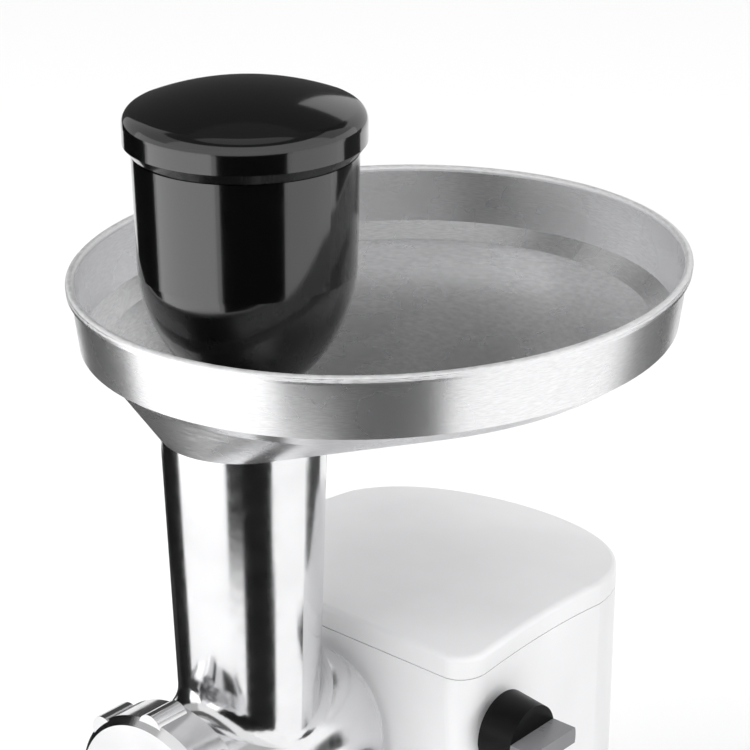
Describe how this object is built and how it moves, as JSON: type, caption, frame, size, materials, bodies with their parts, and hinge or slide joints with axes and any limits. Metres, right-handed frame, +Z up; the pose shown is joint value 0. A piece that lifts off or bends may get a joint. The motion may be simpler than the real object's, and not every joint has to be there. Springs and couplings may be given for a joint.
{
  "type": "electric meat grinder",
  "caption": "Kitchen meat grinder: metal tray and feed tube over a barrel with screw, blade and plate, driven by a geared motor in a white moulded housing with a side knob.",
  "frame": {"origin": "on the table under the middle of the whole part", "axes": "+Z up, the outlet faces -Y, the control knob is on +X"},
  "size_m": [0.2348, 0.2636, 0.4129],
  "materials": {
    "gloss_black": "polished black moulding",
    "grip_grey": "satin grey moulding",
    "tray_metal": "spun and brushed aluminium",
    "head_metal": "polished cast aluminium",
    "cutting_steel": "ground steel",
    "screw_metal": "cast aluminium",
    "white_shell": "white moulding with a fine satin sheen",
    "cover_shell": "pale moulding with a fine satin sheen",
    "button_plastic": "satin grey moulding",
    "base_plastic": "moulded grey plastic",
    "foot_rubber": "soft black rubber",
    "fastener_steel": "plated steel",
    "nylon": "natural nylon",
    "gear_nylon": "greased moulded nylon",
    "shaft_steel": "ground steel",
    "bronze": "oiled bronze",
    "motor_iron": "stacked steel laminations",
    "copper": "enamelled copper",
    "frame_steel": "zinc-plated steel",
    "carbon": "pressed carbon"
  },
  "bodies": {
    "housing": {"grinder_head": "head_metal", "mincing_plate": "cutting_steel", "screw_washer": "nylon", "housing_shell": "white_shell", "top_cover": "cover_shell", "outlet_ring": "white_shell", "base_plate": "base_plastic", "base_screws": "fastener_steel", "rubber_feet": "foot_rubber", "cord_gland": "foot_rubber", "rotary_switch": "base_plastic", "button_spring": "fastener_steel", "shaft_bush": "bronze", "gearbox_case": "nylon", "gearbox_cover": "nylon", "gearbox_screws": "fastener_steel", "stator_core": "motor_iron", "field_coils": "copper", "front_bearing": "bronze", "rear_bearing": "bronze", "motor_frame": "frame_steel", "carbon_brushes": "carbon", "brush_holders": "nylon"},
    "screw": {"feed_screw": "screw_metal", "cutter_blade": "cutting_steel", "drive_shaft": "shaft_steel", "output_gear": "gear_nylon"},
    "second_stage": {"second_gear": "gear_nylon", "second_pinion": "gear_nylon", "second_shaft": "shaft_steel"},
    "first_stage": {"first_gear": "gear_nylon", "first_pinion": "shaft_steel", "first_shaft": "shaft_steel"},
    "rotor": {"rotor_shaft": "shaft_steel", "rotor_core": "motor_iron", "commutator": "copper", "motor_pinion": "shaft_steel", "cooling_fan": "nylon"},
    "knob": {"control_knob": "gloss_black", "knob_grip_bar": "grip_grey", "switch_shaft": "fastener_steel"},
    "button": {"release_button": "button_plastic"},
    "nut": {"ring_nut": "head_metal"},
    "tray": {"hopper_tray": "tray_metal"},
    "pusher": {"pusher_body": "gloss_black"},
    "lid": {"pusher_lid": "gloss_black"}
  },
  "joints": [
    {"name": "screw_turn", "type": "hinge", "parent": "housing", "child": "screw", "pos_m": [-0.0053, 0.00067, 0.13003], "axis": [0, 1, 0], "continuous": true},
    {"name": "second_turn", "type": "hinge", "parent": "housing", "child": "second_stage", "pos_m": [-0.02468, 0.00067, 0.09647], "axis": [0, 1, 0], "continuous": true},
    {"name": "first_turn", "type": "hinge", "parent": "housing", "child": "first_stage", "pos_m": [-0.00918, 0.00067, 0.06962], "axis": [0, 1, 0], "continuous": true},
    {"name": "rotor_turn", "type": "hinge", "parent": "housing", "child": "rotor", "pos_m": [-0.00487, 0.00067, 0.0452], "axis": [0, 1, 0], "continuous": true},
    {"name": "knob_turn", "type": "hinge", "parent": "housing", "child": "knob", "pos_m": [0.0747, -0.00833, 0.14503], "axis": [1, 0, 0], "range_deg": [-45, 45]},
    {"name": "button_press", "type": "slide", "parent": "housing", "child": "button", "axis": [0, 1, 0], "range_m": [0, 0.004], "stiffness_N_per_m": 500, "springref_m": -0.002, "deforming": ["button_spring"]},
    {"name": "nut_off", "type": "slide", "parent": "housing", "child": "nut", "axis": [0, -1, 0], "range_m": [0, 0.03]},
    {"name": "tray_lift", "type": "slide", "parent": "housing", "child": "tray", "axis": [0, 0, 1], "range_m": [0, 0.08]},
    {"name": "pusher_slide", "type": "slide", "parent": "tray", "child": "pusher", "axis": [0, 0, 1], "range_m": [-0.022, 0.13]},
    {"name": "lid_lift", "type": "slide", "parent": "pusher", "child": "lid", "axis": [0, 0, 1], "range_m": [0, 0.03]}
  ],
  "couplings": [
    {"joint": "second_turn", "follows": "screw_turn", "ratio": -3.4286},
    {"joint": "first_turn", "follows": "screw_turn", "ratio": 11.755},
    {"joint": "rotor_turn", "follows": "screw_turn", "ratio": -40.303}
  ]
}
